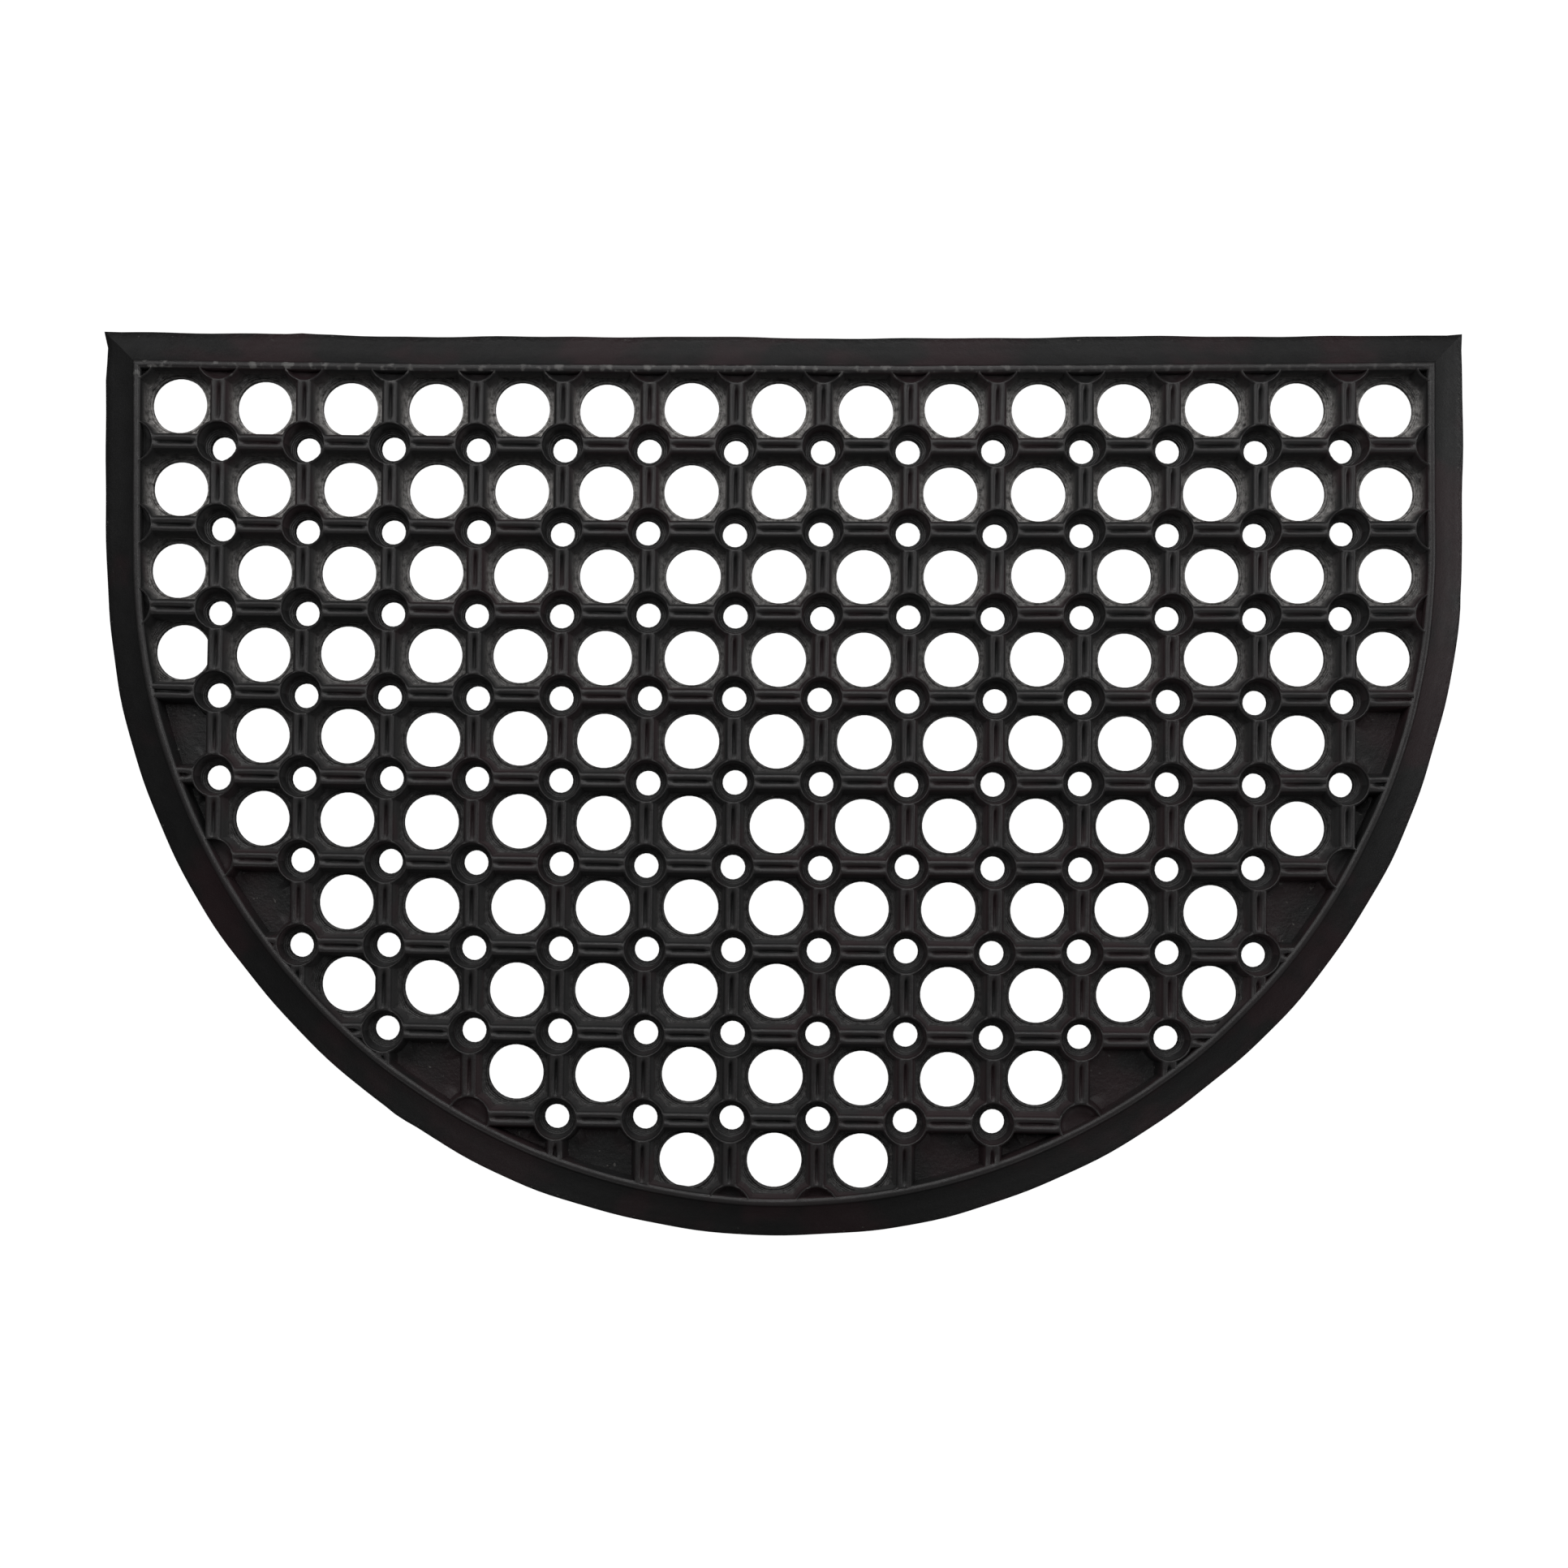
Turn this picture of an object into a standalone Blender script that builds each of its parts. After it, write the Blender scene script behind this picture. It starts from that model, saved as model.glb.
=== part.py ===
"""Half-round moulded rubber doormat.

The mat lies flat with its straight edge towards +Y. The origin is on the ground, at the middle of
the mat's bounding box. Everything is one moulding: a border that slopes up to a lip, and inside it
a thin floor with a lattice of cups joined by ribs. A large hole goes through the floor of each
pocket between four cups, and a small one through the floor of each cup. Lengths are in metres.
"""
import math
import random

import bmesh
import bpy
from mathutils import Vector

# Whole mat
WIDTH = 0.600
DEPTH = 0.400
HEIGHT = 0.012
ARC_RADIUS = WIDTH / 2
ARC_CENTRE_Y = ARC_RADIUS - DEPTH / 2
ARC_STEPS = 48
BACK_SAG = 0.002
BACK_TILT = 0.001
BACK_STEPS = 6

# Border
EDGE_HEIGHT = 0.002
SLOPE_WIDTH = 0.0147
SIDE_SLOPE_WIDTH = 0.0155
LIP_WIDTH = 0.0026
WEB_THICKNESS = 0.0022

# Lattice of pockets, with a cup where four pockets meet
PITCH_X = 0.03817
PITCH_Y = 0.03678
LATTICE_X = -0.00295
LATTICE_Y = 0.01866
MIDDLE_ROW = 4
LAST_ROW = 9
LAST_COLUMN = 7
# How the moulding departs from an even lattice, per metre of distance from the lattice's middle
UNEVEN = {
    "x": {"lean": 0.0062, "cross": -0.0202, "across_squared": 0.0252, "along_squared": -0.0096},
    "y": {"lean": -0.0075, "cross": 0.0325, "across_squared": 0.0168, "along_squared": -0.0378},
}

# Cups and ribs
RIB_PAIR_WIDTH = 0.0056
RING_OUTER_RADIUS = 0.0099
RING_INNER_RADIUS = 0.0084
# A pocket's cut corner is a chord, set in so that the cup keeps about the area of its round wall
CHORD_INSET = 0.0011
DRAFT = 0.0005
CUP_SIDES = 8

# Holes
LARGE_HOLE_RADIUS = 0.01208
SMALL_HOLE_RADIUS = 0.00543
LARGE_HOLE_SIDES = 10
SMALL_HOLE_SIDES = 6
HOLE_WANDER = 0.0006
HOLE_TO_LIP = 0.0006

# How far inside the lip the middle of a pocket or a cup lies when it has its hole or is there at all
LARGE_HOLE_MARGIN = 0.010
SMALL_HOLE_MARGIN = 0.008
BLIND_POCKET_MARGIN = -0.010
BLIND_CUP_MARGIN = -0.006
# A pocket that reaches under the lip by more than this is cut off by it
CUT_OFF_MARGIN = -0.0006

# How far the cutters reach past the faces that they cut through
OVERRUN = 0.003

RUBBER_COLOUR = (0.017, 0.0155, 0.016, 1.0)
RUBBER_ROUGHNESS = 0.55


def uneven_point(across, along):
    """Place of a point of the even lattice on the real moulding, from the lattice's middle."""
    def shift(axis, other):
        terms = UNEVEN[axis]
        return (terms["lean"] * other
                + terms["cross"] * across * along
                + terms["across_squared"] * across ** 2
                + terms["along_squared"] * along ** 2)

    return LATTICE_X + across + shift("x", along), LATTICE_Y + along + shift("y", across)


def lattice_point(column, row, offset_x=0.0, offset_y=0.0):
    """Place on the mat of a lattice position, whose rows are counted from the straight edge."""
    across = column * PITCH_X + offset_x
    along = (MIDDLE_ROW - row) * PITCH_Y + offset_y
    return uneven_point(across, along)


def back_bow(x):
    """How far the straight edge lies in from its left end: it sags and tilts a little."""
    along = x / ARC_RADIUS
    return BACK_SAG * (1 - along ** 2) + BACK_TILT * (1 + along) / 2


def depth_inside_lip(x, y):
    """Distance from a point to the lip's inner edge, negative under the border."""
    half_width = ARC_RADIUS - SIDE_SLOPE_WIDTH - LIP_WIDTH
    radius = ARC_RADIUS - SLOPE_WIDTH - LIP_WIDTH
    if y < ARC_CENTRE_Y:
        return radius - math.hypot(x * radius / half_width, y - ARC_CENTRE_Y)
    return min(half_width - abs(x), DEPTH / 2 - SLOPE_WIDTH - LIP_WIDTH - back_bow(x) - y)


def hole_centre(column, row, radius):
    """Centre of a hole, which strays a little from its place in the lattice but not into the lip."""
    chance = random.Random(f"hole {column:.1f} {row:.1f}")
    x, y = lattice_point(column, row,
                         chance.uniform(-HOLE_WANDER, HOLE_WANDER),
                         chance.uniform(-HOLE_WANDER, HOLE_WANDER))
    overlap = radius + HOLE_TO_LIP - depth_inside_lip(x, y)
    if overlap > 0:
        inward = Vector((-x, ARC_CENTRE_Y - y)).normalized() * overlap
        x, y = x + inward.x, y + inward.y
    return x, y


def equal_area_radius(radius, sides):
    """Corner radius of the polygon that has the area of a circle."""
    return radius * math.sqrt(2 * math.pi / (sides * math.sin(2 * math.pi / sides)))


def outline(side_inset, inset):
    """Half-round outline, moved in at the sides and at back and front: back edge, then the arc."""
    half_width = ARC_RADIUS - side_inset
    points = []
    for step in range(BACK_STEPS + 1):
        x = half_width * (2 * step / BACK_STEPS - 1)
        points.append((x, DEPTH / 2 - inset - back_bow(x)))
    for step in range(ARC_STEPS + 1):
        angle = -math.pi * step / ARC_STEPS
        y = ARC_CENTRE_Y + (ARC_RADIUS - inset) * math.sin(angle)
        points.append((half_width * math.cos(angle), y))
    return points


def ring_of_points(centre, radius, sides, turn=0.0):
    """Corners of a regular polygon."""
    x, y = centre
    angles = [turn + 2 * math.pi * side / sides for side in range(sides)]
    return [(x + radius * math.cos(angle), y + radius * math.sin(angle)) for angle in angles]


def pocket_outline(column, row, shrink):
    """Pocket between four cups: straight beside the ribs, with a cut corner beside each cup."""
    half_x = (PITCH_X - RIB_PAIR_WIDTH) / 2 - shrink
    half_y = (PITCH_Y - RIB_PAIR_WIDTH) / 2 - shrink
    beside_cup = RING_OUTER_RADIUS * math.cos(math.asin(RIB_PAIR_WIDTH / 2 / RING_OUTER_RADIUS))
    side_x = PITCH_X / 2 - beside_cup - CHORD_INSET - shrink
    side_y = PITCH_Y / 2 - beside_cup - CHORD_INSET - shrink
    corners = [(half_x, -side_y), (half_x, side_y), (side_x, half_y), (-side_x, half_y),
               (-half_x, side_y), (-half_x, -side_y), (-side_x, -half_y), (side_x, -half_y)]
    return [lattice_point(column, row, x, y) for x, y in corners]


def add_loft(mesh, sections):
    """Closed solid through flat sections, each given as its height and its points."""
    loops = []
    for height, points in sections:
        corners = [mesh.verts.new((x, y, height)) for x, y in points]
        edges = [mesh.edges.new((corners[i - 1], corners[i])) for i in range(len(corners))]
        loops.append((corners, edges))
    faces = [mesh.faces.new(loops[0][0]), mesh.faces.new(loops[-1][0])]
    for lower, upper in zip(loops, loops[1:]):
        made = bmesh.ops.bridge_loops(mesh, edges=lower[1] + upper[1])
        faces += made["faces"]
    bmesh.ops.recalc_face_normals(mesh, faces=faces)


def through_pocket(mesh, column, row):
    """Cutter for a pocket with its large hole. The floor slopes down to the hole's edge."""
    radius = equal_area_radius(LARGE_HOLE_RADIUS, LARGE_HOLE_SIDES)
    hole = ring_of_points(hole_centre(column, row, radius), radius, LARGE_HOLE_SIDES)
    add_loft(mesh, [(-OVERRUN, hole),
                    (0.0, hole),
                    (WEB_THICKNESS, pocket_outline(column, row, DRAFT)),
                    (HEIGHT + OVERRUN, pocket_outline(column, row, 0.0))])


def blind_pocket(mesh, column, row):
    """Cutter for a pocket without a hole."""
    add_loft(mesh, [(WEB_THICKNESS, pocket_outline(column, row, DRAFT)),
                    (HEIGHT + OVERRUN, pocket_outline(column, row, 0.0))])


def cup_mouth(column, row):
    """Inner edge of a cup's ring, with flat sides towards the ribs and the pockets."""
    radius = equal_area_radius(RING_INNER_RADIUS, CUP_SIDES)
    return ring_of_points(lattice_point(column, row), radius, CUP_SIDES, math.pi / CUP_SIDES)


def through_cup(mesh, column, row):
    """Cutter for a cup with its small hole."""
    radius = equal_area_radius(SMALL_HOLE_RADIUS, SMALL_HOLE_SIDES)
    hole = ring_of_points(hole_centre(column, row, radius), radius, SMALL_HOLE_SIDES)
    add_loft(mesh, [(-OVERRUN, hole),
                    (0.0, hole),
                    (HEIGHT, cup_mouth(column, row)),
                    (HEIGHT + OVERRUN, cup_mouth(column, row))])


def blind_cup(mesh, column, row):
    """Cutter for a cup that the lip cuts off, which has no hole."""
    mouth = cup_mouth(column, row)
    add_loft(mesh, [(WEB_THICKNESS, mouth), (HEIGHT + OVERRUN, mouth)])


def object_from(mesh, name, collection):
    """Object made from a bmesh, in a collection."""
    data = bpy.data.meshes.new(name)
    mesh.to_mesh(data)
    mesh.free()
    made = bpy.data.objects.new(name, data)
    collection.objects.link(made)
    return made


def make_cutters(collection):
    """Two cutters: pockets and cups clear of the lip, and those that the lip cuts off."""
    clear = bmesh.new()
    cut_off = bmesh.new()
    for row in range(LAST_ROW + 1):
        for column in range(-LAST_COLUMN, LAST_COLUMN + 1):
            margin = depth_inside_lip(*lattice_point(column, row))
            corners = [depth_inside_lip(*point) for point in pocket_outline(column, row, 0.0)]
            if margin >= LARGE_HOLE_MARGIN:
                through_pocket(clear if min(corners) > CUT_OFF_MARGIN else cut_off, column, row)
            elif margin >= BLIND_POCKET_MARGIN:
                blind_pocket(cut_off, column, row)
    for row_step in range(LAST_ROW + 2):
        for column_step in range(-LAST_COLUMN - 1, LAST_COLUMN + 1):
            column = column_step + 0.5
            row = row_step - 0.5
            margin = depth_inside_lip(*lattice_point(column, row))
            if margin >= SMALL_HOLE_MARGIN:
                through_cup(clear, column, row)
            elif margin >= BLIND_CUP_MARGIN:
                blind_cup(cut_off, column, row)
    cutters = [object_from(clear, "clear_pockets", collection),
               object_from(cut_off, "cut_off_pockets", collection)]

    inner = bmesh.new()
    region = outline(SIDE_SLOPE_WIDTH + LIP_WIDTH, SLOPE_WIDTH + LIP_WIDTH)
    add_loft(inner, [(-2 * OVERRUN, region), (HEIGHT + 2 * OVERRUN, region)])
    within_lip = object_from(inner, "within_lip", collection)
    clip = cutters[1].modifiers.new("within_lip", "BOOLEAN")
    clip.operation = "INTERSECT"
    clip.object = within_lip

    for cutter in cutters + [within_lip]:
        cutter.hide_render = True
        cutter.display_type = "WIRE"
    return cutters


def make_moulding(collection):
    """Solid block of the mat's outline, whose border slopes up from a thin edge."""
    mesh = bmesh.new()
    add_loft(mesh, [(0.0, outline(0.0, 0.0)),
                    (EDGE_HEIGHT, outline(0.0, 0.0)),
                    (HEIGHT, outline(SIDE_SLOPE_WIDTH, SLOPE_WIDTH))])
    return object_from(mesh, "mat", collection)


def rubber():
    """Near-black moulded rubber."""
    material = bpy.data.materials.new("rubber")
    material.use_nodes = True
    shader = material.node_tree.nodes["Principled BSDF"]
    shader.inputs["Base Color"].default_value = RUBBER_COLOUR
    shader.inputs["Roughness"].default_value = RUBBER_ROUGHNESS
    shader.inputs["Metallic"].default_value = 0.0
    return material


def new_collection(name):
    """Collection linked to the scene."""
    collection = bpy.data.collections.new(name)
    bpy.context.scene.collection.children.link(collection)
    return collection


def main():
    for old in list(bpy.data.objects):
        bpy.data.objects.remove(old)
    mat = make_moulding(new_collection("half_round_doormat"))
    mat.data.materials.append(rubber())
    for cutter in make_cutters(new_collection("cutters")):
        cut = mat.modifiers.new(cutter.name, "BOOLEAN")
        cut.operation = "DIFFERENCE"
        cut.object = cutter


main()
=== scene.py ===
"""Looks of the half-round rubber doormat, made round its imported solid.

The solid in the frame has the mat's outline, border, cups, ribs and holes with few faces. Here the
same moulding is made with its fine form: round holes in a thin flat floor, fillets, a slot along
each pair of ribs, thin ridges round the cups and a rounded lip. Lengths are in metres.
"""
import math
import random

import bmesh
import bpy
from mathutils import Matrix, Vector, kdtree, noise


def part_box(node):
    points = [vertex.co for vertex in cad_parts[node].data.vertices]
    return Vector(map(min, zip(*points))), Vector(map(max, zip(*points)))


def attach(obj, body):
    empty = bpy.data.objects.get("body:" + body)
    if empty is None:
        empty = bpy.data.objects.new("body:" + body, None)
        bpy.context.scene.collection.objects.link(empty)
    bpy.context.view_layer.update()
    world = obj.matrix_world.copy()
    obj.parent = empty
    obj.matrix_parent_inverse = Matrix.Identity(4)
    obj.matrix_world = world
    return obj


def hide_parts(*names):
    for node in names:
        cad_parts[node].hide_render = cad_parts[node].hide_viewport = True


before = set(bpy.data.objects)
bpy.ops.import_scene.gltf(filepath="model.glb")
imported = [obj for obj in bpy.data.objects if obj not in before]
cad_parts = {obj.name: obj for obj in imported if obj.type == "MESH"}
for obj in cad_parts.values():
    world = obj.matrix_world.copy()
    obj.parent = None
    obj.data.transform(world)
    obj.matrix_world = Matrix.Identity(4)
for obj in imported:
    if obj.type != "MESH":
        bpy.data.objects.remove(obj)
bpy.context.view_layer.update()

MM = 0.001

# Whole mat, from the frame
LOW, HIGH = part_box("mat")
WIDTH = HIGH.x - LOW.x
DEPTH = HIGH.y - LOW.y
HEIGHT = HIGH.z - LOW.z
ARC_RADIUS = WIDTH / 2
ARC_CENTRE_Y = ARC_RADIUS - DEPTH / 2
BACK_SAG = 2.0 * MM
BACK_TILT = 1.0 * MM

# Border, as the solid has it
SLOPE_WIDTH = 14.7 * MM
SIDE_SLOPE_WIDTH = 15.5 * MM
LIP_WIDTH = 2.6 * MM
# On the moulding itself the slope is a little wider at the back and round the arc
BACK_SLOPE_WIDTH = 15.1 * MM
ARC_SLOPE_WIDTH = 15.3 * MM
# Section of the border: share of the slope's width, distance past the slope, height
BORDER_SECTION = [
    {"slope": 0.000, "past": 0.00 * MM, "height": 0.0 * MM, "wobble": 1.0},
    {"slope": 0.000, "past": 0.00 * MM, "height": 1.3 * MM, "wobble": 1.0},
    {"slope": 0.015, "past": 0.00 * MM, "height": 1.8 * MM, "wobble": 1.0},
    {"slope": 0.050, "past": 0.00 * MM, "height": 2.2 * MM, "wobble": 1.0},
    {"slope": 0.500, "past": 0.00 * MM, "height": 6.2 * MM, "wobble": 0.6},
    {"slope": 0.930, "past": 0.00 * MM, "height": 10.3 * MM, "wobble": 0.3},
    {"slope": 0.950, "past": 0.00 * MM, "height": 10.6 * MM, "wobble": 0.3},
    {"slope": 0.962, "past": 0.00 * MM, "height": 11.1 * MM, "wobble": 0.3},
    {"slope": 0.990, "past": 0.00 * MM, "height": 11.6 * MM, "wobble": 0.3},
    {"slope": 1.000, "past": 0.45 * MM, "height": 11.9 * MM, "wobble": 0.3},
    {"slope": 1.000, "past": 1.20 * MM, "height": 12.0 * MM, "wobble": 0.3},
    {"slope": 1.000, "past": 1.95 * MM, "height": 11.9 * MM, "wobble": 0.3},
    {"slope": 1.000, "past": 2.60 * MM, "height": 11.6 * MM, "wobble": 0.3},
    {"slope": 1.000, "past": 3.05 * MM, "height": 10.8 * MM, "wobble": 0.3},
    {"slope": 1.000, "past": 3.30 * MM, "height": 8.0 * MM, "wobble": 0.3},
    {"slope": 1.000, "past": 3.40 * MM, "height": 3.6 * MM, "wobble": 0.3},
    {"slope": 1.000, "past": 3.50 * MM, "height": 2.6 * MM, "wobble": 0.3},
    {"slope": 1.000, "past": 3.50 * MM, "height": 1.0 * MM, "wobble": 0.3},
    {"slope": 1.000, "past": 3.35 * MM, "height": 0.0 * MM, "wobble": 0.3},
]
BACK_STATIONS = 90
SIDE_STATIONS = 14
ARC_STATIONS = 170
# The lattice is cut off along the middle of the lip, inside the border
CUT_PAST_SLOPE = 1.3 * MM
# Slow wander of the trimmed outer edge: height, length and phase of each wave
EDGE_WAVES = [(0.30 * MM, 0.210, 0.4), (0.22 * MM, 0.093, 2.1), (0.10 * MM, 0.037, 4.0)]
# Marks of the trimming: place, reach along the edge, and how far the edge stands out there
EDGE_MARKS = [
    {"x": -0.300, "y": 0.191, "reach": 7 * MM, "out": -1.2 * MM},
    {"x": 0.263, "y": 0.198, "reach": 2 * MM, "out": 0.9 * MM},
    {"x": -0.215, "y": 0.199, "reach": 3 * MM, "out": 0.5 * MM},
    {"x": 0.296, "y": 0.085, "reach": 4 * MM, "out": -0.5 * MM},
    {"x": -0.170, "y": -0.147, "reach": 5 * MM, "out": 0.5 * MM},
]
# Thin flash left at the corner where the moulding was cut from its sheet
CORNER_FLASH = Vector((-0.7 * MM, 0.2 * MM))

# Lattice, as the solid has it
PITCH_X = 38.17 * MM
PITCH_Y = 36.78 * MM
LATTICE_X = -2.95 * MM
LATTICE_Y = 18.66 * MM
MIDDLE_ROW = 4
FIRST_ROW, LAST_ROW = -1, 10
LAST_COLUMN = 8
UNEVEN = {
    "x": {"lean": 0.0062, "cross": -0.0202, "across_squared": 0.0252, "along_squared": -0.0096},
    "y": {"lean": -0.0075, "cross": 0.0325, "across_squared": 0.0168, "along_squared": -0.0378},
}
# The upper half of the mould sits a little askew on the lower one, which makes the holes
RAISED_LEAN = 0.0024
RAISED_STRETCH = 0.0038
RAISED_STRETCH_CENTRE = -46 * MM

# Holes, as the solid has them
LARGE_HOLE_RADIUS = 12.08 * MM
SMALL_HOLE_RADIUS = 5.43 * MM
LARGE_HOLE_SIDES = 10
SMALL_HOLE_SIDES = 6
HOLE_WANDER = 0.6 * MM
HOLE_TO_LIP = 0.6 * MM
LARGE_HOLE_MARGIN = 10 * MM
SMALL_HOLE_MARGIN = 8 * MM
CAPPED_MARGIN = -30 * MM

# Pocket wall from the crest of the ridges down to the floor: distance from the middle of the pair
# of ribs, radius from the middle of the cup, height
POCKET_WALL = [
    {"rib": 2.25 * MM, "cup": 9.30 * MM, "height": 11.85 * MM},
    {"rib": 2.95 * MM, "cup": 9.70 * MM, "height": 11.50 * MM},
    {"rib": 3.55 * MM, "cup": 10.10 * MM, "height": 10.65 * MM},
    {"rib": 4.05 * MM, "cup": 10.42 * MM, "height": 8.90 * MM},
    {"rib": 4.40 * MM, "cup": 10.74 * MM, "height": 5.80 * MM},
    {"rib": 4.75 * MM, "cup": 11.12 * MM, "height": 3.30 * MM},
    {"rib": 5.20 * MM, "cup": 11.68 * MM, "height": 2.35 * MM},
]
# Burr round a large hole: distance from the hole's edge, height
HOLE_BURR = [(1.15 * MM, 2.10 * MM), (0.75 * MM, 2.55 * MM), (0.00 * MM, 2.35 * MM),
             (0.00 * MM, 0.00 * MM)]
BURR_SHARE = 0.55
BLIND_FLOOR = [(0.40, 2.20 * MM), (0.75, 2.20 * MM)]

# Cup from the crest of its ridge down: radius, height; then its floor: share of the way, height
CUP_WALL = [
    (9.30 * MM, 11.85 * MM), (8.98 * MM, 11.70 * MM), (8.70 * MM, 10.90 * MM),
    (8.45 * MM, 7.00 * MM), (8.15 * MM, 3.70 * MM),
]
CUP_FLOOR = [(0.16, 2.95 * MM), (0.50, 2.75 * MM), (0.60, 2.45 * MM), (0.93, 2.35 * MM),
             (1.00, 2.10 * MM), (1.00, 0.0)]
# A cup that the lip cuts off has no hole and is shallow
BLIND_CUP_WALL = CUP_WALL[:3] + [(8.20 * MM, 9.60 * MM), (7.40 * MM, 8.60 * MM)]
BLIND_CUP_FLOOR = [(0.20, 8.00 * MM), (0.60, 7.60 * MM)]

# Pair of ribs: distance from its middle, depth below the crest; and where the slot ends
RIB_SECTION = [(-2.25 * MM, 0.0), (-0.95 * MM, 0.36 * MM), (-0.30 * MM, 2.60 * MM),
               (0.30 * MM, 2.60 * MM), (0.95 * MM, 0.36 * MM), (2.25 * MM, 0.0)]
SLOT_END = 0.9 * MM
SLOT_END_SLOPE = 2.4 * MM
POINTS_ALONG_RIB = 6
CUP_ARC_STEPS = 4
CUP_FLOOR_POINTS = 20

MERGE_DISTANCE = 1e-6
# Faces of the underside that meet at less than this are joined
FLAT_ANGLE = 0.01
# Keeps a division from being by nothing
TINY = 1e-6
SHARP_ANGLE = math.radians(58)
MITRE_REACH = 1.6 * MM

# Slow unevenness of the whole moulding
PLAN_NOISE = 0.16 * MM
PLAN_NOISE_LENGTH = 25 * MM
HEIGHT_NOISE = 0.12 * MM
# Without a fixed seed the noise is another one in each run
FORM_SEED = 7

# Relief of the rubber's surface
RING_SPACING = 0.85 * MM
RING_HEIGHT = 0.055 * MM
GRAIN_HEIGHT = 0.060 * MM
PATCH_HEIGHT = 0.25 * MM
FLOOR_HEIGHT = 0.22 * MM
RING_WAVER = 3.0
RING_REACH = (4.0 * MM, 6.0 * MM)

# Noise in the rubber: scale per metre, detail, roughness
BLOOM_NOISE = (19.0, 3.0, 0.6)
PATCH_NOISE = (95.0, 4.0, 0.6)
LIP_HIGHLIGHT_NOISE = (260.0, 3.0, 0.5)
COARSE_NOISE = (480.0, 3.0, 0.65)
SPECK_NOISE = (620.0, 0.0, 0.5)
GRAIN_NOISE = (900.0, 3.0, 0.7)
NOISE_RANGE = (0.3, 0.7)
# Heights between which one look of the rubber gives way to another
FLOOR_LEVELS = (2.3 * MM, 4.6 * MM)
DUST_LEVELS = (3.0 * MM, 10.5 * MM)
WALL_LEVELS = (9.5 * MM, 11.5 * MM)
CREST_LEVELS = (11.0 * MM, 11.8 * MM)
# The same for the distances from the lip, from the middle of the ribs and from the holes' edges
LIP_EDGE = (0.3 * MM, 1.0 * MM)
SLOT_EDGE = (1.2 * MM, 1.8 * MM)
CUP_EDGE = (3.9 * MM, 4.4 * MM)
POCKET_EDGE = (6.0 * MM, 8.0 * MM)
TORN_REACH = (1.0 * MM, 2.4 * MM)
DUST_REACH = (4.5 * MM, 6.0 * MM)
# The same for the places in a pocket and on the mat
LIT_FRONT_SIDE = (2.0 * MM, 10.0 * MM)
SHADED_BACK_SIDE = (8.0 * MM, 13.0 * MM)
WEAR_AND_SHEEN_Y = (0.0, 0.15)
BACK_LIP_Y = (0.172, 0.179)
LIP_HIGHLIGHT_X = (0.0, 0.2)
# Parts of the noise that show
BLOOM_PATCHES = (0.46, 0.60)
MOTTLED_PATCHES = (0.36, 0.64)
DUST_PATCHES = (0.28, 0.62)
LIP_HIGHLIGHT_PATCHES = (0.54, 0.66)
SPECK_PATCHES = (0.80, 0.84)
BLOOM_LEAN = 0.15
# Shares of the looks where they are strongest or weakest
CREST_HIGHLIGHT_SHARE = 0.8
BACK_SHADE_SHARE = 0.6
SHADED_BACK_DUST_SHARE = 0.2
TORN_SHARE = 0.7
LEAST_WEAR_AND_SHEEN = 0.05
LEAST_LIP_HIGHLIGHT = 0.4

# Colours of the rubber, among them painted highlights, painted shade and painted light
CLEAN = (0.0125, 0.0124, 0.0127, 1.0)
BLOOM = (0.0270, 0.0155, 0.0175, 1.0)
WALL = (0.0520, 0.0515, 0.0520, 1.0)
WALL_BLOOM = (0.0640, 0.0470, 0.0500, 1.0)
FLOOR_DARK = (0.0220, 0.0215, 0.0215, 1.0)
FLOOR_LIGHT = (0.0560, 0.0545, 0.0545, 1.0)
SHADED_FLOOR = (0.0140, 0.0139, 0.0142, 1.0)
CREST_HIGHLIGHT = (0.030, 0.028, 0.0285, 1.0)
DUST_AND_LIGHT = (0.480, 0.462, 0.445, 1.0)
LIP_HIGHLIGHT = (0.140, 0.136, 0.132, 1.0)
SPECK = (0.10, 0.095, 0.09, 1.0)
ROUGHNESS = (0.46, 0.57)
CREST_GLOSS = 0.10
RUBBED_GLOSS = 0.14
GRAIN_ROUGHNESS = 0.05

# Camera, straight down from a little way towards the round front
CAMERA_HEIGHT = 0.886
CAMERA_Y = -42.5 * MM
VIEW_WIDTH = 0.6933
VIEW_PLANE = 2 * MM
SENSOR = 36.0
NEAREST_SEEN = 0.01
FARTHEST_SEEN = 20.0

# Soft boxes: azimuth from +Y towards +X and elevation in degrees, width, height, power
LIGHT_DISTANCE = 1.8
LIGHTS = [
    ("back_light", 0, 35, 0.8, 0.7, 6.2),
    ("left_back_light", -52, 40, 0.7, 0.7, 5.3),
    ("right_back_light", 45, 42, 0.7, 0.7, 3.5),
    ("top_light", 0, 72, 0.7, 0.6, 4.6),
    ("right_light", 82, 25, 0.7, 0.9, 4.1),
    ("right_front_light", 145, 30, 0.7, 0.7, 1.5),
    ("left_front_light", -148, 30, 0.7, 0.7, 1.5),
]
WORLD_LIGHT = 0.02
FLOOR_HALF_WIDTH = 3.0
FLOOR_DROP = 0.2 * MM
FLOOR_GREY = (0.15, 0.15, 0.15, 1)
FLOOR_ROUGHNESS = 0.9
WHITE = (1, 1, 1, 1)


def uneven_point(across, along):
    """Place of a point of the even lattice on the real moulding, from the lattice's middle."""
    def shift(axis, other):
        terms = UNEVEN[axis]
        return (terms["lean"] * other
                + terms["cross"] * across * along
                + terms["across_squared"] * across ** 2
                + terms["along_squared"] * along ** 2)

    return LATTICE_X + across + shift("x", along), LATTICE_Y + along + shift("y", across)


def lattice_point(column, row, offset_x=0.0, offset_y=0.0):
    """Place on the mat of a lattice position, whose rows are counted from the straight edge."""
    return uneven_point(column * PITCH_X + offset_x, (MIDDLE_ROW - row) * PITCH_Y + offset_y)


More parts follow.
